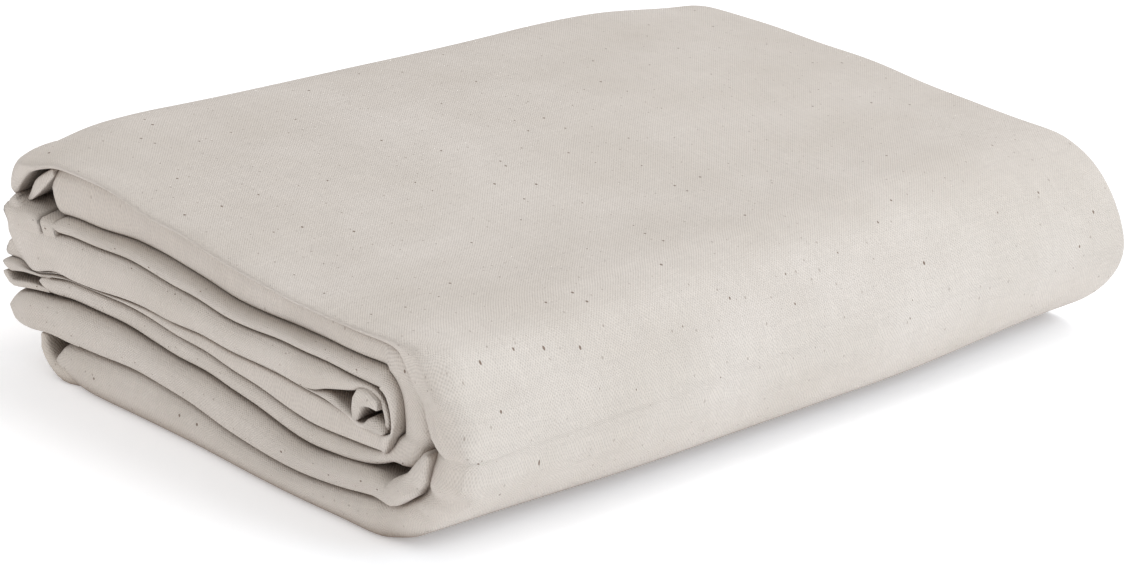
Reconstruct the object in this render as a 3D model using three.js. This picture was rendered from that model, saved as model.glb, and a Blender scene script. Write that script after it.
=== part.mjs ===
// A canvas drop cloth folded into a flat pack: one hemmed cotton sheet, pleated in eight across its
// width, laid to and fro in nine layers and closed like a book over its front bends.
// Millimetres, +Z up. The origin is the centre of the underside. The closed pleats face -X, the
// hemmed side edges face +X and the book fold is at the front, -Y.
import * as THREE from 'three'
import { mergeVertices } from 'three/addons/utils/BufferGeometryUtils.js'

// Driving sizes
const SHEET_WIDTH = 2743.2 // nine feet
const PLEATS = 8
const STRIP = SHEET_WIDTH / PLEATS // width of the pleated strip, along X
const PACK_DEPTH = 266 // front bulge to back wall, along Y
const GAP = 0.4 // air between cloth faces that touch
const HEM_WIDTH = 16
const THREAD_RADIUS = 0.4
const THREAD_INSET = 11 // stitch line to hem edge
const GROOVE_HALF_WIDTH = 0.8
const GROOVE_DEPTH = 1.1
const LIP_SHARE = 0.5 // four of a layer's eight plies
const ARC_STEPS = 12

// Layer thicknesses from the ground up
const THICKNESS = { g: 13.5, f: 13.5, e: 8.6, d_low: 4.4, d_top: 4.2, c: 11.6, b: 8, a: 8.6, t: 7.2 }
const OUTER_FACE_UP = ['e', 'd_top', 'b', 't']

const canvas = new THREE.MeshStandardMaterial({ color: 0xd9cfc4, roughness: 0.95 })
const hemCanvas = new THREE.MeshStandardMaterial({ color: 0xd3c8bc, roughness: 0.95 })
const threadCotton = new THREE.MeshStandardMaterial({ color: 0xe8e2d8, roughness: 0.8 })

const LEFT = -STRIP / 2
const RIGHT = STRIP / 2
const FRONT = -PACK_DEPTH / 2
const BACK = PACK_DEPTH / 2
const SIDE_HEM_START = RIGHT - HEM_WIDTH

// Stack the layers: low and high are the faces of each one.
const layer = {}
let height = 0
for (const [name, thickness] of Object.entries(THICKNESS)) {
  layer[name] = { low: height, high: height + thickness }
  height += thickness + GAP
}

// All the front bends start on one line, where the outer wrap's half circle begins.
const WRAP_RADIUS = (layer.t.high - layer.g.low) / 2
const BEND_LINE = FRONT + WRAP_RADIUS

// Where each layer's flat run ends at the back
const WALL_RADIUS = (layer.t.high - layer.c.low) / 2
const EF_RADIUS = (layer.e.high - layer.f.low) / 2
const AB_RADIUS = (layer.a.high - layer.b.low) / 2
const D_RADIUS = (layer.d_top.high - layer.d_low.low) / 2
const WALL_LINE = BACK - WALL_RADIUS
const EF_LINE = BACK - EF_RADIUS
const AB_LINE = BACK - 33 - AB_RADIUS
const D_LINE = BACK - 15 - D_RADIUS
const G_HEM_LINE = BACK - 4 - HEM_WIDTH
const RUN_END = {
  g: G_HEM_LINE, f: EF_LINE, e: EF_LINE, d_low: D_LINE, d_top: D_LINE,
  c: WALL_LINE, b: AB_LINE, a: AB_LINE, t: WALL_LINE,
}

const pack = new THREE.Group()
pack.name = 'folded_drop_cloth'

function add(name, geometry, material) {
  geometry.deleteAttribute('uv')
  geometry.deleteAttribute('normal')
  const mesh = new THREE.Mesh(mergeVertices(geometry, 1e-4), material)
  mesh.name = name
  pack.add(mesh)
}

function extrude(shape, length) {
  return new THREE.ExtrudeGeometry(shape, { depth: length, bevelEnabled: false, curveSegments: ARC_STEPS })
}

// A profile drawn as (Y, Z), run along X
function alongX(shape, from, to) {
  const turn = new THREE.Matrix4().makeBasis(
    new THREE.Vector3(0, 1, 0), new THREE.Vector3(0, 0, 1), new THREE.Vector3(1, 0, 0))
  return extrude(shape, to - from).applyMatrix4(turn).translate(from, 0, 0)
}

// A profile drawn as (Z, X), run along Y
function alongY(shape, from, to) {
  const turn = new THREE.Matrix4().makeBasis(
    new THREE.Vector3(0, 0, 1), new THREE.Vector3(1, 0, 0), new THREE.Vector3(0, 1, 0))
  return extrude(shape, to - from).applyMatrix4(turn).translate(0, from, 0)
}

// The closed pleats make a layer's outer lip at +X and the side hems lie behind it, so each profile
// is drawn with the outer face up and turned over for the layers whose outer face is down.
function turnedOver(shape, { low, high }) {
  return new THREE.Shape(shape.getPoints(ARC_STEPS).map((p) => new THREE.Vector2(low + high - p.x, p.y)))
}

const lipDepth = ({ low, high }) => LIP_SHARE * (high - low)

// Flat run of one layer, half round at -X where all the pleats turn and lipped over the hems at +X
function panelProfile(faces) {
  const { low, high } = faces
  const round = (high - low) / 2
  const lipRound = lipDepth(faces) / 2
  const lipLow = high - lipDepth(faces)
  const shape = new THREE.Shape()
  shape.moveTo(low, LEFT + round)
  shape.absarc(low + round, LEFT + round, round, Math.PI, 2 * Math.PI)
  shape.absarc(high - lipRound, RIGHT - lipRound, lipRound, 0, Math.PI)
  shape.lineTo(lipLow, SIDE_HEM_START - GAP)
  shape.lineTo(low, SIDE_HEM_START - GAP)
  return shape
}

// Turned side hem behind the lip, with the stitch line sunk in its face
function sideHemProfile(faces) {
  const { low, high } = faces
  const top = high - lipDepth(faces) - GAP
  const stitch = RIGHT - THREAD_INSET
  const groove = low + GROOVE_DEPTH
  const shape = new THREE.Shape()
  shape.moveTo(low, SIDE_HEM_START)
  shape.lineTo(top, SIDE_HEM_START)
  shape.lineTo(top, RIGHT)
  shape.lineTo(low, RIGHT)
  shape.lineTo(low, stitch + GROOVE_HALF_WIDTH)
  shape.lineTo(groove, stitch + GROOVE_HALF_WIDTH)
  shape.lineTo(groove, stitch - GROOVE_HALF_WIDTH)
  shape.lineTo(low, stitch - GROOVE_HALF_WIDTH)
  return shape
}

function threadProfile(across, up) {
  const shape = new THREE.Shape()
  shape.absarc(across, up, THREAD_RADIUS, 0, 2 * Math.PI)
  return shape
}

// The half ring that carries a layer over to the one it is folded onto. Its outer half circle
// spans the two layers' outer faces and its inner one spans the faces between them. The two face
// the front for a front bend (side -1) and the back for a back bend (side 1).
function bendProfile(upper, lower, line, side) {
  const outer = (upper.high - lower.low) / 2
  const inner = (upper.low - lower.high) / 2
  const start = line + side * GAP
  const shape = new THREE.Shape()
  shape.moveTo(start, lower.low)
  shape.absellipse(start, lower.low + outer, outer - GAP, outer, -Math.PI / 2, Math.PI / 2, side < 0)
  if (inner > GAP) {
    shape.lineTo(start, upper.low)
    shape.absellipse(start, lower.high + inner, inner, inner, Math.PI / 2, -Math.PI / 2, side > 0)
  }
  shape.closePath()
  return shape
}

// Layer F's free front end turns up inside the outer wrap and thins towards its end hem. The
// angles are round the wrap's inner half circle, from straight down towards the front.
const TUCK_CENTRE = (layer.t.low + layer.g.high) / 2
const TUCK_OUTER = (layer.t.low - layer.g.high) / 2 - 2 * GAP
const TUCK_INNER = TUCK_CENTRE - layer.f.high
const TUCK_END_INNER = (layer.a.high - layer.e.low) / 2 + GAP
const TUCK_ANGLE = THREE.MathUtils.degToRad(95)
const TUCK_HEM_ANGLE = TUCK_ANGLE - HEM_WIDTH / TUCK_OUTER
const TUCK_THREAD_ANGLE = TUCK_ANGLE - THREAD_INSET / TUCK_OUTER

function aroundTuck(angle, radius) {
  return new THREE.Vector2(BEND_LINE - GAP - radius * Math.sin(angle), TUCK_CENTRE - radius * Math.cos(angle))
}

const tuckInner = (angle) => THREE.MathUtils.lerp(TUCK_INNER, TUCK_END_INNER, angle / TUCK_ANGLE)

function tuckProfile(from, to, outer) {
  const steps = Array.from({ length: ARC_STEPS + 1 }, (_, i) => from + ((to - from) * i) / ARC_STEPS)
  const outside = steps.map((angle) => aroundTuck(angle, outer))
  const inside = steps.map((angle) => aroundTuck(angle, tuckInner(angle))).reverse()
  return new THREE.Shape([...outside, ...inside])
}

for (const [name, faces] of Object.entries(layer)) {
  const outerUp = OUTER_FACE_UP.includes(name)
  const place = (shape) => (outerUp ? shape : turnedOver(shape, faces))
  const thread = threadProfile(faces.low + GROOVE_DEPTH / 2, RIGHT - THREAD_INSET)
  add(`panel_${name}`, alongY(place(panelProfile(faces)), BEND_LINE, RUN_END[name]), canvas)
  add(`side_hem_${name}`, alongY(place(sideHemProfile(faces)), BEND_LINE, RUN_END[name]), hemCanvas)
  add(`side_thread_${name}`, alongY(place(thread), BEND_LINE + 1, RUN_END[name] - 1), threadCotton)
}

const FRONT_BENDS = { wrap_tg: ['t', 'g'], wrap_ae: ['a', 'e'], wrap_bd: ['b', 'd_low'], core_cd: ['c', 'd_top'] }
for (const [name, [upper, lower]] of Object.entries(FRONT_BENDS)) {
  add(`front_${name}`, alongX(bendProfile(layer[upper], layer[lower], BEND_LINE, -1), LEFT, RIGHT), canvas)
}

const BACK_BENDS = { wall_tc: ['t', 'c'], bend_ab: ['a', 'b'], bend_dd: ['d_top', 'd_low'], bend_ef: ['e', 'f'] }
for (const [name, [upper, lower]] of Object.entries(BACK_BENDS)) {
  add(`back_${name}`, alongX(bendProfile(layer[upper], layer[lower], RUN_END[upper], 1), LEFT, RIGHT), canvas)
}

const TUCK_HEM_OUTER = TUCK_OUTER - GROOVE_DEPTH
const tuckThread = aroundTuck(TUCK_THREAD_ANGLE, TUCK_OUTER - GROOVE_DEPTH / 2)
const tuckHem = tuckProfile(TUCK_HEM_ANGLE + GAP / TUCK_INNER, TUCK_ANGLE, TUCK_HEM_OUTER)
add('front_tuck_f', alongX(tuckProfile(0, TUCK_HEM_ANGLE, TUCK_OUTER), LEFT, RIGHT), canvas)
add('end_hem_f', alongX(tuckHem, LEFT, RIGHT), hemCanvas)
add('end_thread_f', alongX(threadProfile(tuckThread.x, tuckThread.y), LEFT + 1, RIGHT - 1), threadCotton)

// Layer G's free back end: the sheet's end hem and its thread
const endHem = new THREE.Shape()
const hemStart = G_HEM_LINE + GAP
const hemEnd = G_HEM_LINE + HEM_WIDTH
const stitchY = hemEnd - THREAD_INSET
endHem.moveTo(hemStart, layer.g.low)
endHem.lineTo(hemEnd - 6, layer.g.low)
endHem.quadraticCurveTo(hemEnd, layer.g.low, hemEnd, layer.g.high / 2)
endHem.quadraticCurveTo(hemEnd, layer.g.high, hemEnd - 6, layer.g.high)
endHem.lineTo(stitchY + GROOVE_HALF_WIDTH, layer.g.high)
endHem.lineTo(stitchY + GROOVE_HALF_WIDTH, layer.g.high - GROOVE_DEPTH)
endHem.lineTo(stitchY - GROOVE_HALF_WIDTH, layer.g.high - GROOVE_DEPTH)
endHem.lineTo(stitchY - GROOVE_HALF_WIDTH, layer.g.high)
endHem.lineTo(hemStart, layer.g.high)
endHem.closePath()
add('end_hem_g', alongX(endHem, LEFT, RIGHT), hemCanvas)
add('end_thread_g', alongX(threadProfile(stitchY, layer.g.high - GROOVE_DEPTH / 2), LEFT + 1, RIGHT - 1), threadCotton)

export default pack
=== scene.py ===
"""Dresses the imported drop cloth: soft canvas layers, hem plies and stitches, then floor, light, camera."""

import math

import bmesh
import bpy
import numpy as np
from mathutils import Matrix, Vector


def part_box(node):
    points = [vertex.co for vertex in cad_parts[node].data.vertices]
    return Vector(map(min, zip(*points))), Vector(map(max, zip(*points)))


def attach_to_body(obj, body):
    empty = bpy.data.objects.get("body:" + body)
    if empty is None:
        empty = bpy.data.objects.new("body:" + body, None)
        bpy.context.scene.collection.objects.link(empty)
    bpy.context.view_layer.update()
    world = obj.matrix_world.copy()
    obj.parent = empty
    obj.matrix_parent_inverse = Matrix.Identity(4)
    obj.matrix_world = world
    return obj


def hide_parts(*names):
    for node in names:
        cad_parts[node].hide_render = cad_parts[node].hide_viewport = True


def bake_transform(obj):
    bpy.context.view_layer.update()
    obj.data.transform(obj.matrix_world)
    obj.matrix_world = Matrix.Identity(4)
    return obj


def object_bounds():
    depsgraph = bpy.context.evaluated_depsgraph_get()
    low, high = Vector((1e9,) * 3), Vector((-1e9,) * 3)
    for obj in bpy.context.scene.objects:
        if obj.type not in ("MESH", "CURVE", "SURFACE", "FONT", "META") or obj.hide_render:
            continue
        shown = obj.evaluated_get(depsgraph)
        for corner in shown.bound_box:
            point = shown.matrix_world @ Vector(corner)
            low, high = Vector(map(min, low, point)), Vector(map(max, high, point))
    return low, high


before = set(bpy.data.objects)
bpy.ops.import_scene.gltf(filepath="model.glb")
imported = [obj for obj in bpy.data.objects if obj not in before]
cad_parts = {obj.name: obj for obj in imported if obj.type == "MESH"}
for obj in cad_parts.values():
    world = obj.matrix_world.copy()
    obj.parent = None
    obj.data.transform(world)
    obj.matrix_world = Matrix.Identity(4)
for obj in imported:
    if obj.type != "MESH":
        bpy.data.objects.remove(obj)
cad_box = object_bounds()

# ---------------------------------------------------------------- sizes, read from the frame in mm
MM = 0.001
LAYERS = ["g", "f", "e", "d_low", "d_top", "c", "b", "a", "t"]  # from the ground up
LOW = {layer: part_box(f"panel_{layer}")[0].z / MM for layer in LAYERS}
HIGH = {layer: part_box(f"panel_{layer}")[1].z / MM for layer in LAYERS}
LEFT = cad_box[0].x / MM  # the closed end, where each layer's pleats turn
RIGHT = cad_box[1].x / MM  # the open end, where the hems are
TOP = HIGH["t"]
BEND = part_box("panel_t")[0].y / MM  # where every front bend starts

ROW_PITCH = 2.4  # mesh pitch along a layer's path
COLUMN_PITCH = 3.2  # and across it
HEM_NOTCH = 14.0  # depth of the slot behind a layer's outer lip, where its hem plies lie
EDGE_POWER = 2.3  # roundness of cloth edges: 2 is a circle, more is squarer
WRAP_POWER = 2.0  # the outer wrap's edges
LOOSE_POWER = 4.0  # the edges of loose pleat ends
END_HEIGHTS = (0.1, 0.45, 0.75, 0.94)  # rows of a rounded path end, as shares of its height
SHOULDERS = (2.2, 8.0)  # how far a layer's edge draws back towards its face that looks down, and up
WRAP_SHOULDERS = (5.0, 11.0)  # the same for the outside of the outer wrap
NEXT_SHOULDERS = (4.5, 9.5)  # and for the outside of the layer just inside it
THIN_SHOULDER = 1.1  # most that a thin edge draws back, in half thicknesses
LIP_SHOULDER = 2.0  # how far the edges of the open end draw back
INSET_REACH = 45.0  # how much of the closed end moves when it is set back
CURL_REACH = 18.0  # and when it turns over in a curl
FRAY, FRAY_REACH = 1.2, 40.0  # how unevenly the edges lie at the open end, and how much of it wavers
HEM_FACES = (0.06, 0.9)  # where a hem ply's faces lie behind the lip, in half thicknesses of the layer
HEM_PLAY = 0.4  # gap between a hem ply and the foot of its slot
HEM_STEP = 2.5  # how far a hem ply stands back from its layer's lip
SEAM_STEP = 9.0  # and how far its row of stitches does
END_SEAM_PITCH = 5.0  # from stitch to stitch along the end hem
STITCH, THREAD_RADIUS = 3.4, 0.55
PATTERN_SHIFT = 157.0  # sets the weave of one shell apart from the next
HEM_SEED = 20  # added to a layer's seed for its hem's

# How far the soft pack leaves its plain, flat shape
CORNER_SPREAD = 9.2  # backwards, at the back of the closed end
CORNER_DROOP = 3.5  # down, at the top of that corner
SWELL = 8.6  # up, at the top behind the middle
CROWN, CROWN_EASE = 93.0, 2.0  # height where the swell begins to level off, and how softly
DROOP, FRONT_DROOP = 2.5, 0.6  # down, at the top of the open end, and what its front adds
LEAN, FRONT_LEAN = 1.5, 2.0  # inwards, at the same places
LEFT_FOOT, RIGHT_FOOT = 5.0, 8.0  # backwards, at the foot of the front towards either end

# Layer thickness at the closed end, at even stations from the front bends to the back
LAST_STATION = 125.0
STATIONS = np.linspace(BEND, LAST_STATION, 6)
CLOSED_END = {
    "g": (15.0, 11.3, 13.5, 19.0, 18.0, 17.0),
    "f": (10.0, 10.0, 14.5, 12.0, 15.4, 15.0),
    "e": (6.5, 9.0, 8.4, 9.2, 8.6, 8.0),
    "d_low": (8.6, 12.6, 7.6, 4.3, 0.8, 1.0),
    "d_top": (2.2, 2.0, 1.6, 1.0, 0.6, 0.8),
    "c": (14.4, 12.4, 10.6, 13.2, 15.8, 16.8),
    "b": (8.0, 5.6, 5.4, 5.6, 5.5, 6.0),
    "a": (11.9, 14.3, 18.5, 19.0, 22.7, 18.0),
    "t": (3.3, 3.2, 3.2, 3.2, 3.2, 3.7),
}


# ---------------------------------------------------------------- small numeric helpers
def smooth(t):
    t = np.clip(t, 0.0, 1.0)
    return t * t * (3 - 2 * t)


def near(distance, reach):
    """1 at no distance, easing to 0 at the reach."""
    return smooth(1 - distance / reach)


def past(value, start, width):
    """0 up to the start, easing to 1 over the width after it."""
    return smooth((value - start) / width)


def through(values, at):
    """A smooth curve through evenly spaced values, read at positions 0 .. len(values) - 1."""
    values = np.asarray(values, float)
    first, last = 2 * values[:1] - values[1:2], 2 * values[-1:] - values[-2:-1]
    padded = np.concatenate([first, values, last])
    at = np.clip(at, 0, len(values) - 1 - 1e-9)
    i = at.astype(int)
    f = (at - i).reshape(at.shape + (1,) * (values.ndim - 1))
    a, b, c, d = (padded[i + k] for k in range(4))
    return b + 0.5 * f * (c - a + f * (2 * a - 5 * b + 4 * c - d + f * (3 * (b - c) + d - a)))


def ripple(points, size, seed, waves=8):
    """Soft random relief of about unit height, made of plane waves of about the given length."""
    random = np.random.default_rng(seed)
    total = np.zeros(len(points))
    for _ in range(waves):
        direction = random.normal(size=3)
        direction /= np.linalg.norm(direction)
        pitch = size * random.uniform(0.7, 1.6)
        total += np.sin(points @ direction * 2 * math.pi / pitch + random.uniform(0, 2 * math.pi))
    return total / math.sqrt(waves)


# ---------------------------------------------------------------- how the soft pack sags
KNOTS = np.array([0.0] + [(HIGH[a] + LOW[b]) / 2 for a, b in zip(LAYERS, LAYERS[1:])] + [TOP])
PLAIN = np.diff(KNOTS)


def heights_over(points):
    """Height of each face between layers, over each point."""
    at = np.interp(points[:, 1], STATIONS, np.arange(len(STATIONS)))
    closed = np.stack([through(CLOSED_END[layer], at) for layer in LAYERS], axis=1)
    share = ((RIGHT - points[:, 0]) / (RIGHT - LEFT)).clip(0, 1)[:, None] ** 1.2
    thickness = closed * share + PLAIN * (1 - share)
    plan = points * (1, 1, 0)
    near_fold = near(points[:, 0] - LEFT, 45)
    for k in range(len(LAYERS)):
        thickness[:, k] *= 1 + 0.018 * near_fold * ripple(plan, 30, 40 + k)
    ground = np.zeros((len(points), 1))
    return np.concatenate([ground, np.cumsum(thickness, axis=1)], axis=1)


def remap(z, heights):
    """Each z read off a smooth rising curve that takes KNOTS to the heights over that point."""
    slopes = np.diff(heights, axis=1) / PLAIN
    inner = 2 / (1 / slopes[:, 1:] + 1 / slopes[:, :-1])
    tangents = np.concatenate([slopes[:, :1], inner, slopes[:, -1:]], axis=1)
    i = (np.searchsorted(KNOTS, z, side="right") - 1).clip(0, len(PLAIN) - 1)
    row = np.arange(len(z))
    f = (z - KNOTS[i]) / PLAIN[i]
    low, high = heights[row, i], heights[row, i + 1]
    start, end = tangents[row, i] * PLAIN[i], tangents[row, i + 1] * PLAIN[i]
    inside = (
        low * (1 + 2 * f) * (1 - f) ** 2
        + start * f * (1 - f) ** 2
        + high * f * f * (3 - 2 * f)
        + end * f * f * (f - 1)
    )
    above = heights[:, -1] + (z - TOP) * slopes[:, -1]
    below = z * slopes[:, 0]
    return np.where(z > TOP, above, np.where(z < 0, below, inside))


def sag(points):
    """Moves points of the plain, flat pack to where the soft pack has them."""
    moved = points.copy()
    x, y, z = points.T
    from_left = x - LEFT
    from_right = RIGHT - x
    loose = past(z, 0, 25)  # the bottom stays on the ground
    moved[:, 0] += 0.6 * ripple(points, 80, 5)
    moved[:, 1] += 0.7 * ripple(points, 110, 3) * loose
    moved[:, 2] = remap(z, heights_over(points)) + 0.4 * ripple(points, 120, 4) * loose

    # the back spreads near the closed end, and the top swells a little behind the middle
    moved[:, 1] += CORNER_SPREAD * near(from_left, 150) * past(y, 60, 60)
    swell = past(from_left, -38, 105) * past(from_right, -70, 170)
    moved[:, 2] += SWELL * swell * past(y, -80, 130) * past(z, 30, 50)

    # the open end droops and leans in, and more so at the front
    droop = near(from_right, 60) * past(z, 20, 60)
    forward = past(-y, -20, 100)
    moved[:, 2] -= (DROOP + FRONT_DROOP * forward) * droop
    moved[:, 0] -= (LEAN + FRONT_LEAN * forward) * droop + FRONT_LEAN * forward * near(from_right, 60)

    # the foot of the front draws back towards both ends
    foot = past(-y, 65, 50) * near(z, 45)
    moved[:, 1] += (LEFT_FOOT * near(from_left, 120) + RIGHT_FOOT * near(from_right, 120)) * foot

    # the wrap's edge puckers where it turns round the front, and the back corner is crumpled
    pucker = near(from_left, 18) * past(-y, 104, 12) * loose
    moved[:, 0] += 1.3 * pucker * ripple(points, 13, 8)
    moved[:, 1] += 0.8 * pucker * ripple(points, 11, 9)
    corner = near(from_left, 40) * past(y, 85, 25)
    moved[:, 2] += 0.9 * corner * loose * ripple(points, 20, 6)
    moved[:, 2] -= CORNER_DROOP * near(from_left, 45) * past(y, 90, 30) * past(z, 66, 12)
    moved[:, 0] += 1.2 * corner * ripple(points, 22, 7)

    over = (moved[:, 2] - CROWN).clip(0)
    moved[:, 2] += CROWN_EASE * np.tanh(over / CROWN_EASE) - over
    return moved


# ---------------------------------------------------------------- paths of layers, seen from the end
# A path is a list of control points (y, z, thickness, inset, curl). The inset is how far the closed
# end stands back, and the curl how far it turns over towards side -1. Side 1 is up where the path
# runs forward and down where it runs back.
CONTROL_PITCH = 22.0


def flat(layer, start, end, inset=0.0, curl=0.0):
    """A layer's flat run."""
    z = (LOW[layer] + HIGH[layer]) / 2
    thick = HIGH[layer] - LOW[layer]
    count = max(2, round(abs(end - start) / CONTROL_PITCH) + 1)
    return [(y, z, thick, inset, curl) for y in np.linspace(start, end, count)]


def front_bend(upper, lower, bulge=0.0, inside=0.0, lift=0.0, inset=0.0, curl=0.0, count=13):
    """The bend round the front from the upper layer to the lower one.

    The bulge is how much further forward its outside stands, inside the same for its inside, and
    the lift raises the lower part of the outside.
    """
    outer = (HIGH[upper] - LOW[lower]) / 2
    inner = (LOW[upper] - HIGH[lower]) / 2
    points = []
    for turn in np.linspace(0, math.pi, count)[1:-1]:
        out_y = BEND - (outer + bulge) * math.sin(turn)
        out_z = LOW[lower] + outer + outer * math.cos(turn)
        out_z += lift * smooth(2 * turn / math.pi - 1)
        in_y = BEND - (inner + inside) * math.sin(turn)
        in_z = HIGH[lower] + inner + inner * math.cos(turn)
        thick = math.hypot(out_y - in_y, out_z - in_z)
        points.append(((out_y + in_y) / 2, (out_z + in_z) / 2, thick, inset, curl))
    return points


def trace(controls):
    """Even samples along a path.

    Gives the middle, the unit normal to side 1, the half thickness, the inset, the curl and the run length.
    """
    controls = np.array([(*point, 0.0, 0.0)[:5] for point in controls], float)
    dense = through(controls, np.linspace(0, len(controls) - 1, 60 * len(controls)))
    steps = np.linalg.norm(np.diff(dense[:, :2], axis=0), axis=1)
    run = np.concatenate([[0], np.cumsum(steps)])
    length = np.linspace(0, run[-1], max(8, round(run[-1] / ROW_PITCH)))
    rows = np.stack([np.interp(length, run, dense[:, k]) for k in range(5)], axis=1)
    along = np.gradient(rows[:, :2], axis=0)
    along /= np.linalg.norm(along, axis=1)[:, None]
    normal = np.stack([along[:, 1], -along[:, 0]], axis=1)
    return rows[:, :2], normal, rows[:, 2] / 2, rows[:, 3], rows[:, 4], length


# ---------------------------------------------------------------- sections and meshes
def drawn_back(height, power=EDGE_POWER):
    """How far a rounded edge has drawn back at a height -1 .. 1, as a share of its depth."""
    return 1 - (1 - abs(height) ** power) ** (1 / power)


def soft_edge(x, inward, start, end, count=13, power=EDGE_POWER):
    """Section points (x, side, back, face) round an edge from one side to the other.

    Back is the share of its depth by which the edge has drawn back, signed by the way it goes, and
    face is -1 or 1 for the side of the middle the point is on.
    """
    middle, reach = (start + end) / 2, (end - start) / 2
    heights = [math.sin(turn) for turn in np.linspace(-math.pi / 2, math.pi / 2, count)]
    return [
        (x, middle + reach * h, inward * drawn_back(h, power), math.copysign(1, h * reach))
        for h in heights
    ]


def ply_section(low=-1.0, high=1.0, left=LEFT, right=RIGHT, power=EDGE_POWER):
    """Closed outline of a single ply or bundle seen along its path."""
    columns = np.linspace(left, right, max(5, round((right - left) / COLUMN_PITCH)))[2:-2]
    outline = soft_edge(right, -1, low, high, 9)
    outline += [(x, high, 0, 0) for x in columns[::-1]]
    outline += soft_edge(left, 1, high, low, 9, power)
    outline += [(x, low, 0, 0) for x in columns]
    return outline


def lipped_section(lip_side, power=EDGE_POWER):
    """Outline of a whole layer: a round fold at the closed end, a lip and a slot behind it at the other."""
    stop = RIGHT - HEM_NOTCH
    edge = max(WRAP_SHOULDERS)
    columns = np.linspace(LEFT + edge, RIGHT - edge, round((RIGHT - LEFT) / COLUMN_PITCH))[1:-1]
    outline = [(stop, 0.0, 0, 0)] + soft_edge(RIGHT, -1, 0.0, 1.0, 9)
    outline += [(x, 1.0, 0, 0) for x in columns[::-1]]
    outline += soft_edge(LEFT, 1, 1.0, -1.0, power=power)
    outline += [(x, -1.0, 0, 0) for x in columns if x < stop - 1] + [(stop, -1.0, 0, 0)]
    return [(x, side * lip_side, back, face * lip_side) for x, side, back, face in outline]


def sweep(path, outline, seed, outer_shoulders=SHOULDERS, end_depth=1.0):
    """One closed shell: the outline swept along the path, with both path ends rounded off.

    Shoulders are how far the edge draws back where the cloth looks down and where it looks up; the
    outer ones are for side 1. The end depth is 1 for a half-round path end and less for a blunt one.
    """
    centre, normal, half, inset, curl, length = trace(path)
    along = np.stack([-normal[:, 1], normal[:, 0]], axis=1)
    x0, side, back, face = np.array(outline).T
    middle = (side.max() + side.min()) / 2
    reach = (side.max() - side.min()) / 2
    last = len(length) - 1
    rows = [(0, height, -1) for height in END_HEIGHTS] + [(i, 1.0, 0) for i in range(last + 1)]
    rows += [(last, height, 1) for height in END_HEIGHTS[::-1]]
    waver = ripple(np.column_stack([length, np.zeros((last + 1, 2))]), 60, seed, 4)
    anchor = int(np.argmax(x0 < 0))
    vertices, run, girth = [], [], []
    for i, scale, end in rows:
        ahead = end * end_depth * reach * half[i] * (1 - drawn_back(scale))
        sides = middle + (side - middle) * scale
        facing_up = (1 + face * normal[i, 1]) / 2
        down, up = (np.where(face > 0, outer_shoulders[k], SHOULDERS[k]) for k in (0, 1))
        depth = down + (up - down) * facing_up
        limit = np.where(depth > max(SHOULDERS), depth, THIN_SHOULDER * reach * half[i])
        depth = np.where(x0 < 0, np.minimum(depth, limit), LIP_SHOULDER)
        x = x0 + back * depth
        turned = 1 - np.sqrt(1 - ((LEFT + CURL_REACH - x) / CURL_REACH).clip(0, 1) ** 2)
        x = x + inset[i] * smooth((LEFT + INSET_REACH - x0) / INSET_REACH)
        x = x + FRAY * waver[i] * smooth((x0 - RIGHT + FRAY_REACH) / FRAY_REACH)
        sides = sides * half[i] - curl[i] * turned
        yz = centre[i] + along[i] * ahead + np.outer(sides, normal[i])
        vertices.append(np.column_stack([x, yz]))
        steps = np.hypot(np.diff(x, append=x[0]), np.diff(sides, append=sides[0]))
        reached = np.concatenate([[0], np.cumsum(steps)])
        girth.append(reached - reached[anchor] + PATTERN_SHIFT * seed)
        run.append(length[i] + ahead)
    count, around = len(rows), len(outline)
    polygons, cloth = [], []
    for i in range(count - 1):
        for j in range(around):
            corners = ((i, j), (i, j + 1), (i + 1, j + 1), (i + 1, j))
            polygons.append(tuple(row * around + k % around for row, k in corners))
            cloth += [(girth[row][k], run[row], 0) for row, k in corners]
    for row in (0, count - 1):
        polygons.append(tuple(row * around + k for k in range(around)))
        cloth += [(girth[row][k], run[row], 0) for k in range(around)]
    return sag(np.concatenate(vertices)), polygons, cloth


def stitch(middle, ahead, out):
    """A closed spindle of thread, as (vertices, polygons, cloth coordinates)."""
    sides = 6
    across = np.cross(ahead, out)
    turns = np.linspace(0, 2 * math.pi, sides, endpoint=False)
    ring = THREAD_RADIUS * (np.outer(np.cos(turns), out) + np.outer(np.sin(turns), across))
    spine = ((-0.5, 0.35), (-0.3, 1.0), (0.3, 1.0), (0.5, 0.35))
    points = np.concatenate([middle + ahead * STITCH * share + ring * width for share, width in spine])
    last = (len(spine) - 1) * sides
    polygons = [tuple(range(sides)), tuple(range(last, last + sides))]
    for base in range(0, last, sides):
        for k in range(sides):
            after = (k + 1) % sides
            polygons.append((base + k, base + after, base + sides + after, base + sides + k))
    cloth = [
        (turns[k % sides] * THREAD_RADIUS, k // sides, 0)
        for polygon in polygons
        for k in polygon
    ]
    return sag(points), polygons, cloth


def seam(path, side, x):
    """A row of stitches along a path, on its given side."""
    centre, normal, half, _, _, _ = trace(path)
    along = np.stack([-normal[:, 1], normal[:, 0]], axis=1)
    stitches = []
    for i in range(2, len(centre) - 2, 2):
        middle = np.array([x, *(centre[i] + normal[i] * half[i] * side)])
        stitches.append(stitch(middle, np.array([0, *along[i]]), np.array([0, *normal[i]])))
    return stitches


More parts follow.
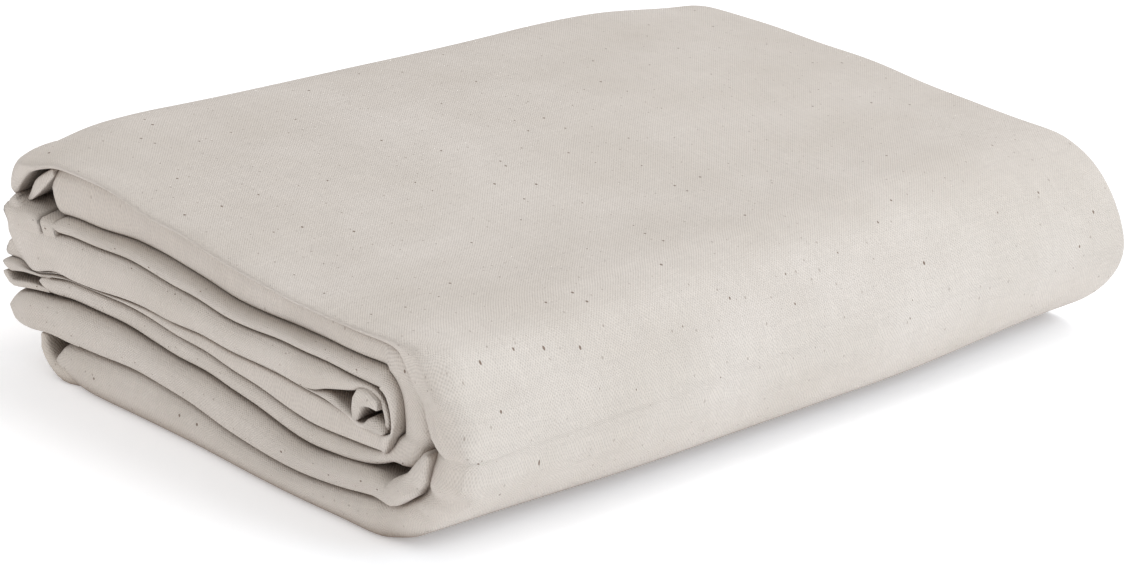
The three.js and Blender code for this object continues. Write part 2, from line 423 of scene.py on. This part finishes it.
def make(name, shells, material):
    """One mesh object out of closed shells, given in mm."""
    points, polygons, cloth, base = [], [], [], 0
    for shell_points, shell_polygons, shell_cloth in shells:
        points.append(shell_points)
        cloth += shell_cloth
        polygons += [tuple(base + k for k in polygon) for polygon in shell_polygons]
        base += len(shell_points)
    mesh = bpy.data.meshes.new(name)
    mesh.from_pydata((np.concatenate(points) * MM).tolist(), [], polygons)
    attribute = mesh.attributes.new("cloth", "FLOAT_VECTOR", "CORNER")
    attribute.data.foreach_set("vector", np.array(cloth).ravel())
    faces = bmesh.new()
    faces.from_mesh(mesh)
    bmesh.ops.recalc_face_normals(faces, faces=faces.faces)
    faces.to_mesh(mesh)
    faces.free()
    mesh.polygons.foreach_set("use_smooth", [True] * len(mesh.polygons))
    mesh.materials.append(material)
    piece = bpy.data.objects.new(name, mesh)
    bpy.context.scene.collection.objects.link(piece)
    return piece


# ---------------------------------------------------------------- materials
class Graph:
    """Short names for building a material's nodes."""

    def __init__(self, name):
        self.material = bpy.data.materials.new(name)
        self.material.use_nodes = True
        self.tree = self.material.node_tree
        self.shader = self.tree.nodes["Principled BSDF"]

    def put(self, value, socket):
        if isinstance(value, bpy.types.NodeSocket):
            self.tree.links.new(value, socket)
        else:
            socket.default_value = value

    def node(self, kind, output=0, settings=(), **inputs):
        made = self.tree.nodes.new(kind)
        for key, value in settings:
            setattr(made, key, value)
        for key, value in inputs.items():
            self.put(value, made.inputs[key.replace("_", " ")])
        return made.outputs[output]

    def maths(self, operation, a, b=0.0, c=0.0, clamp=False):
        made = self.tree.nodes.new("ShaderNodeMath")
        made.operation = operation
        made.use_clamp = clamp
        for socket, value in zip(made.inputs, (a, b, c)):
            self.put(value, socket)
        return made.outputs[0]

    def stretched(self, cloth, x, y, z=1.0):
        made = self.tree.nodes.new("ShaderNodeMapping")
        self.put(cloth, made.inputs["Vector"])
        made.inputs["Scale"].default_value = (x, y, z)
        return made.outputs[0]

    def noise(self, vector, detail=2.0, roughness=0.5):
        settings = {"Vector": vector, "Scale": 1.0, "Detail": detail, "Roughness": roughness}
        return self.node("ShaderNodeTexNoise", **settings)

    def mix(self, share, a, b):
        made = self.tree.nodes.new("ShaderNodeMix")
        made.data_type = "RGBA"
        self.put(share, made.inputs[0])
        self.put(a, made.inputs[6])
        self.put(b, made.inputs[7])
        return made.outputs[2]

    def ramp(self, value, low, high, start=0.0, end=1.0):
        ends = {"From_Min": low, "From_Max": high, "To_Min": start, "To_Max": end}
        return self.node("ShaderNodeMapRange", Value=value, **ends)


def flecks(graph, cloth, cell, radius, share):
    """Specks of husk: small dots in a share of the cells of a random net."""
    vector = graph.stretched(cloth, 1 / cell, 0.8 / cell)
    settings = (("voronoi_dimensions", "2D"),)
    distance = graph.node("ShaderNodeTexVoronoi", 0, settings, Vector=vector, Scale=1.0)
    tint = graph.node("ShaderNodeTexVoronoi", 1, settings, Vector=vector, Scale=1.0)
    chance = graph.node("ShaderNodeSeparateColor", 0, Color=tint)
    size = graph.ramp(chance, 1 - share, 1.0, radius * 0.4 / cell, radius / cell)
    inside = graph.maths("SUBTRACT", size, distance)
    dot = graph.ramp(inside, 0.0, 0.25 * radius / cell)
    return graph.maths("MULTIPLY", dot, graph.maths("GREATER_THAN", chance, 1 - share))


HUSK = (0.12, 0.065, 0.035, 1)
FLECKS = ((5.5, 0.45, 0.35, 0.35), (14.0, 0.58, 0.45, 0.8))  # cell, radius, share of cells, strength
PAINTED_GROOVE_SHADE = (0.15, 0.09, 0.05, 1)  # painted shade: brown colour mixed in where the cloth is hemmed in, between layers and next to the floor
PAINTED_SHADE_REACH = 14.0


def faded(base, *shares):
    """A colour with each channel scaled by its share, or all by the same one."""
    return (*[c * k for c, k in zip(base, shares * 3)], 1)


def woven(name, base, thread_pitch, relief):
    """Plain-woven unbleached cotton in the cloth's own coordinates, which are in mm."""
    graph = Graph(name)
    cloth = graph.node("ShaderNodeAttribute", 1, (("attribute_name", "cloth"),))

    # two crossing sets of threads, a little unsteady, with thick places in both
    wobble = graph.maths("MULTIPLY", graph.noise(graph.stretched(cloth, 0.12, 0.12)), 2.2)
    waves = []
    for k in (0, 1):
        axis = graph.node("ShaderNodeSeparateXYZ", k, Vector=cloth)
        turns = graph.maths("MULTIPLY", graph.maths("ADD", axis, wobble), 2 * math.pi / thread_pitch)
        waves.append(graph.maths("SINE", turns))
    weave = graph.maths("MULTIPLY", *waves)
    warp_slubs = graph.noise(graph.stretched(cloth, 0.9, 0.06), 3)
    weft_slubs = graph.noise(graph.stretched(cloth, 0.07, 0.8), 3)
    slubs = graph.maths("ADD", warp_slubs, weft_slubs)
    nap = graph.noise(graph.stretched(cloth, 0.35, 0.35), 4, 0.6)
    creases = graph.noise(graph.stretched(cloth, 0.035, 0.05), 3)

    height = graph.maths("MULTIPLY", weave, 0.5)
    for relief_part, share in ((slubs, 1.2), (nap, 2.0), (creases, 5.0)):
        height = graph.maths("MULTIPLY_ADD", relief_part, share, height)
    bump = graph.node("ShaderNodeBump", Height=height, Distance=relief * MM, Strength=1.0)

    # broad paler and duller places, darker slubs, the hollows of the weave painted darker as shade, flecks,
    # and painted brown shade in the grooves
    tone = graph.noise(graph.stretched(cloth, 0.02, 0.02), 3)
    colour = graph.mix(graph.ramp(tone, 0.3, 0.7), faded(base, 0.95, 0.94, 0.92), faded(base, 1.05))
    colour = graph.mix(graph.ramp(slubs, 0.75, 1.25, 0.0, 0.28), colour, faded(base, 0.8))
    # painted shade: the hollows between the threads are coloured darker
    colour = graph.mix(graph.ramp(weave, -1.0, 0.2, 0.36, 0.0), colour, faded(base, 0.55))
    for cell, radius, share, strength in FLECKS:
        dots = graph.maths("MULTIPLY", flecks(graph, cloth, cell, radius, share), strength)
        colour = graph.mix(dots, colour, HUSK)
    samples = (("samples", 6),)
    # painted shade: the colour turns dark brown where ambient occlusion finds the cloth hemmed in, in
    # grooves between layers and at the floor
    painted_shade_occlusion = graph.node("ShaderNodeAmbientOcclusion", 1, samples, Distance=PAINTED_SHADE_REACH * MM)
    colour = graph.mix(graph.ramp(painted_shade_occlusion, 0.05, 0.68, 0.92, 0.0), colour, PAINTED_GROOVE_SHADE)

    graph.put(colour, graph.shader.inputs["Base Color"])
    graph.put(bump, graph.shader.inputs["Normal"])
    graph.put(graph.ramp(nap, 0.3, 0.7, 0.86, 0.98), graph.shader.inputs["Roughness"])
    graph.shader.inputs["Specular IOR Level"].default_value = 0.2
    graph.shader.inputs["Sheen Weight"].default_value = 0.12
    return graph.material


canvas = woven("canvas", (0.65, 0.595, 0.545), 1.2, 0.2)
hem_canvas = woven("hem_canvas", (0.66, 0.6, 0.54), 1.2, 0.2)
thread = woven("thread", (0.78, 0.74, 0.66), 0.35, 0.05)

# ---------------------------------------------------------------- the layers
# Heights between which cloth that joins the two halves is meant to turn when the pack is opened; pieces
# given them are only left unattached here
WRAP_WINDOW = (16.0, 64.0)
EAR_WINDOW = (43.0, 63.0)
CORE_WINDOW = (47.5, 57.5)
TUCK_WINDOW = (36.0, 66.0)


def attach(piece, place):
    """Fixes a piece to the body named, or, when given a range of heights, only bakes its transform and
    leaves it unattached.
    """
    if isinstance(place, str):
        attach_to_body(piece, place)
    else:
        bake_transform(piece)


def add_piece(name, shells, material, place, *nodes):
    """A piece attached at its place, which stands in for the nodes named, if any."""
    piece = make(name, shells, material)
    attach(piece, place)
    if nodes:
        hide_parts(*nodes)


def add_layer(
    name, part, path, lip_side, seed, place, layers, nodes, shoulders=SHOULDERS, power=EDGE_POWER
):
    """A piece of folded canvas, the hem ply in the slot behind its lip, and that hem's row of stitches."""
    cloth = sweep(path, lipped_section(lip_side, power), seed, shoulders)
    panels = [f"panel_{layer}" for layer in layers]
    add_piece(name, [cloth], canvas, place, *panels, *nodes)

    low, high = (-lip_side * height for height in HEM_FACES)
    section = ply_section(low, high, RIGHT - HEM_NOTCH + HEM_PLAY, RIGHT - HEM_STEP)
    hems = [f"side_hem_{layer}" for layer in layers]
    add_piece(f"hem_{part}", [sweep(path, section, seed + HEM_SEED)], hem_canvas, place, *hems)

    threads = [f"side_thread_{layer}" for layer in layers]
    stitches = seam(path, high, RIGHT - SEAM_STEP)
    add_piece(f"stitches_{part}", stitches, thread, place, *threads)


# the outer wrap starts in a roll at the back, and runs over the top, round the front and underneath
wrap_path = [
    (127.5, 63.8, 6.0, 9), (125.6, 68.2, 6.6, 4.5), (121.0, 72.4, 7.0, 0.5, 1),
    (113.5, 75.8, 7.2, -0.5, 1.5), (104.5, 78.2, 7.2, -1, 1.4),
]
wrap_path += flat("t", 94, -46, -2.5, 1.6) + [(-64, 79.2, 7.2, -2, 1.4), (-80, 79.2, 7.2, -0.8, 1)]
wrap_path += front_bend("t", "g", bulge=6, inside=-4, inset=0.5, curl=0.5)
wrap_path += flat("g", BEND, 80, -1.5) + [(92, 6.7, 12.5, 0)]
add_layer(
    "outer_wrap", "wrap", wrap_path, 1, 11, WRAP_WINDOW, ["t", "g"], ["front_wrap_tg"],
    WRAP_SHOULDERS, WRAP_POWER,
)

ae_path = flat("a", 96, 74, 5.5) + flat("a", 52, -48, 6.6) + flat("a", -70, BEND, 5)
ae_path += front_bend("a", "e", bulge=3, inside=-6, lift=7.5, inset=3.5)
ae_path += [(-87, 32.6, 8.2, 3), (-74, 31.6, 9.4, 3)] + flat("e", -60, 104, 3)
add_layer(
    "layer_a_e", "a_e", ae_path, -1, 12, EAR_WINDOW, ["a", "e"], ["front_wrap_ae"], NEXT_SHOULDERS
)

bd_path = flat("b", 94, BEND, 2) + front_bend("b", "d_low", bulge=-5, inset=0.5)
bd_path += flat("d_low", BEND, 108, 3)
add_layer("layer_b_d", "b_d", bd_path, 1, 13, CORE_WINDOW, ["b", "d_low"], ["front_wrap_bd"])

# C comes forward from the back wall and thins to a ply that hooks over at the core
c_path = [(121.0, 60.4, 13.5, 1.5), (121.6, 57.6, 15.5, 1), (120.6, 54.2, 16.6, 1), (113, 52.4, 13.6, 0.5)]
c_path += flat("c", 104, -50, 0)
c_path += [
    (-62, 53.8, 8.0, 0), (-70, 54.8, 6.0, 0.5), (-78.6, 56.0, 3.8, 0.5), (-84, 57.2, 1.8, 1),
    (-89, 56.8, 1.9, 1.5), (-93.2, 54.6, 2.2, 2), (-95.6, 50.8, 2.4, 2), (-96.0, 47.4, 2.4, 2),
    (-95.0, 44.6, 2.2, 2),
]
add_layer("layer_c_and_back_wall", "c", c_path, -1, 14, "upper_half", ["c"], ["back_wall_tc"])

# D's top ply narrows to the slot under that hook and ends in a thick nose
d_path = flat("d_top", 108, -50, 3)
d_path += [
    (-62, 46.0, 5.2, 2), (-69, 45.2, 5.2, 1.5), (-75.5, 43.2, 5.4, 1.5), (-80, 41.2, 2.4, 1.5),
    (-83.5, 41.4, 2.2, 1), (-86.5, 43.0, 5.0, 0), (-89.8, 45.2, 8.6, -1), (-93.0, 45.0, 7.6, -0.5),
]
add_layer("layer_d_top", "d_top", d_path, 1, 15, "lower_half", ["d_top"], ["front_core_cd"])

# F's free front end is turned up inside the outer wrap
f_path = [(122.0, 19.4, 10.8, -1), (108, 20.4, 12.2, -1)] + flat("f", 88, -88, -1)
f_path += [
    (-97, 19.8, 12.0, -1.5), (-102.8, 20.8, 12.8, -3), (-108.2, 26.4, 12.8, -4),
    (-113.2, 32.6, 10.6, -4), (-117.0, 37.2, 7.6, -3), (-118.6, 40.2, 5.0, -2),
]
f_nodes = ["front_tuck_f", "end_hem_f", "end_thread_f"]
add_layer("layer_f", "f", f_path, -1, 16, TUCK_WINDOW, ["f"], f_nodes)

# ---------------------------------------------------------------- bends at the back, and the end hem
bend_section = ply_section(left=LEFT + 26)
ab_bend = [
    (90, 70.9, 7.4), (99, 70.6, 6.8), (105.5, 67.8, 6.2), (106, 64.0, 6.0), (101, 62.0, 6.0),
    (92, 62.2, 6.6),
]
add_piece("back_bend_upper", [sweep(ab_bend, bend_section, 41)], canvas, "upper_half", "back_bend_ab")
dd_bend = [(102, 43.7, 3.8), (112, 43.6, 4.0), (117.5, 41.4, 4.6), (112, 39.1, 4.0), (102, 39.0, 4.0)]
ef_bend = [
    (98, 32.1, 7.6), (112, 32.0, 7.4), (121, 31.2, 6.6), (126.5, 27.8, 6.0), (128, 22.6, 5.6),
    (126.5, 17.6, 4.6),
]
lower_bends = [sweep(dd_bend, bend_section, 42), sweep(ef_bend, bend_section, 43)]
add_piece("back_bends_lower", lower_bends, canvas, "lower_half", "back_bend_dd", "back_bend_ef")

# the sheet's end hem shows at the foot of the back
end_path = [
    (82, 2.4, 4.4, 6), (94, 2.6, 5.0, 0), (102, 4.6, 5.0, 0), (106, 8.4, 4.4, 1), (107, 11.4, 3.6, 2),
]
end_ply = sweep(end_path, ply_section(right=RIGHT - 3), 27)
add_piece("end_hem", [end_ply], hem_canvas, "lower_half", "end_hem_g")
end_seam = [
    stitch(np.array([x, 105.4, 4.4]), np.array([1.0, 0, 0]), np.array([0, 0.8, -0.6]))
    for x in np.arange(LEFT + 20, RIGHT - 10, END_SEAM_PITCH)
]
add_piece("end_stitches", end_seam, thread, "lower_half", "end_thread_g")

# ---------------------------------------------------------------- loose pleat ends of the closed end
loose_section = ply_section(right=LEFT + 46, power=LOOSE_POWER)
upper_ends = [
    # the wall under the roll, in two panels with a slit between them
    ([(105.8, 60.2, 10.4, 1), (115, 60.0, 10.8, 0.8), (124.0, 59.2, 11.0, 1)], 20, 0.4),
    ([(97.6, 60.2, 10.8, 2), (100, 60.2, 10.8, 1.8), (102.4, 60.2, 10.8, 1.6)], 21, 0.2),
    # the lobe at the foot of the wall, and the tongue that hangs in the hollow over it
    ([(110, 47.6, 4.4, 3), (118, 48.0, 6.0, 2), (126.2, 48.4, 6.6, 1.5)], 19, 1.0),
    ([(116, 66.6, 1.8, 5), (111, 69.2, 2.4, 4), (106, 71.0, 2.4, 4), (100, 73.0, 1.6, 5)], 22, 1.0),
]
lower_ends = [
    # three plies between D and E
    ([(108, 43.6, 2.0, 4), (118, 43.4, 3.0, 3), (125.6, 42.8, 3.4, 3)], 23, 1.0),
    ([(107, 37.6, 9.0, 4), (114.5, 37.4, 9.6, 2), (125.5, 36.4, 8.6, 1)], 24, 1.0),
    ([(106, 29.0, 2.0, 4), (117, 27.8, 2.4, 2), (125, 28.2, 2.8, 0.5), (128.6, 31.0, 2.8, 0.5)], 25, 1.0),
    # and one between F and G
    ([(124, 16.6, 2.6, 1), (112, 15.4, 2.6, 0), (98, 14.8, 2.2, 0), (86, 14.6, 1.2, 0)], 26, 1.0),
]
core_fold = [
    (-92.0, 53.6, 3.4, 0), (-88.2, 54.4, 4.8, -0.5), (-84.4, 54.0, 5.8, -0.5), (-82.0, 51.2, 5.4, -0.5),
    (-81.0, 47.6, 4.0, 0), (-80.4, 43.6, 2.0, 0.5),
]
for name, ends, body in (
    ("pleat_ends_upper", upper_ends, "upper_half"),
    ("pleat_ends_lower", lower_ends, "lower_half"),
    ("core_fold", [(core_fold, 28, 1.0)], "upper_half"),
):
    shells = [sweep(path, loose_section, seed, end_depth=depth) for path, seed, depth in ends]
    add_piece(name, shells, canvas, body)


# ---------------------------------------------------------------- studio: floor, light and camera
FLOOR_REACH = 6.0


def studio_material(name, colour, glow):
    material = bpy.data.materials.new(name)
    material.use_nodes = True
    shader = material.node_tree.nodes["Principled BSDF"]
    shader.inputs["Base Color"].default_value = (*colour, 1)
    shader.inputs["Roughness"].default_value = 0.9
    shader.inputs["Emission Color"].default_value = (*colour, 1)
    shader.inputs["Emission Strength"].default_value = glow
    return material


floor_mesh = bpy.data.meshes.new("floor")
floor_corners = [(FLOOR_REACH * x, FLOOR_REACH * y, 0) for x, y in ((-1, -1), (1, -1), (1, 1), (-1, 1))]
floor_mesh.from_pydata(floor_corners, [], [(0, 1, 2, 3)])
floor_mesh.materials.append(studio_material("floor", (0.94, 0.94, 0.95), glow=0.285))
floor = bpy.data.objects.new("floor", floor_mesh)
bpy.context.scene.collection.objects.link(floor)

world = bpy.data.worlds.new("studio")
world.use_nodes = True
backdrop = world.node_tree.nodes["Background"]
backdrop.inputs["Color"].default_value = (1, 1, 1, 1)
backdrop.inputs["Strength"].default_value = 0.73
bpy.context.scene.world = world


def softbox(name, place, aim, size, power, colour=(1, 1, 1)):
    light = bpy.data.lights.new(name, "AREA")
    light.shape = "DISK"
    light.size = size
    light.energy = power
    light.color = colour
    lamp = bpy.data.objects.new(name, light)
    lamp.location = place
    lamp.rotation_mode = "QUATERNION"
    lamp.rotation_quaternion = (Vector(aim) - Vector(place)).to_track_quat("-Z", "Y")
    bpy.context.scene.collection.objects.link(lamp)


softbox("key", (0.45, -1.4, 0.95), (0, 0, 0.04), 0.8, 9.5, (0.76, 0.89, 1.0))
softbox("overhead", (0.6, -0.4, 1.7), (0, 0, 0.04), 1.0, 8.5, (1.0, 0.94, 0.89))
softbox("fill", (-1.5, 0.1, 0.2), (0, 0, 0.03), 0.8, 1.7, (1.0, 0.96, 0.93))

AZIMUTH = math.radians(-41.4)
ELEVATION = math.radians(21.0)
DISTANCE = 1.5155
AIM = Vector((-0.0350, -0.0366, 0.0450))
LENS = 127.9
away = Vector((
    math.sin(AZIMUTH) * math.cos(ELEVATION),
    -math.cos(AZIMUTH) * math.cos(ELEVATION),
    math.sin(ELEVATION),
))
camera = bpy.data.objects.new("camera", bpy.data.cameras.new("camera"))
camera.data.lens = LENS
camera.location = AIM + away * DISTANCE
camera.rotation_mode = "QUATERNION"
camera.rotation_quaternion = (-away).to_track_quat("-Z", "Y")
bpy.context.scene.collection.objects.link(camera)
bpy.context.scene.camera = camera
bpy.context.scene.view_settings.view_transform = "Standard"
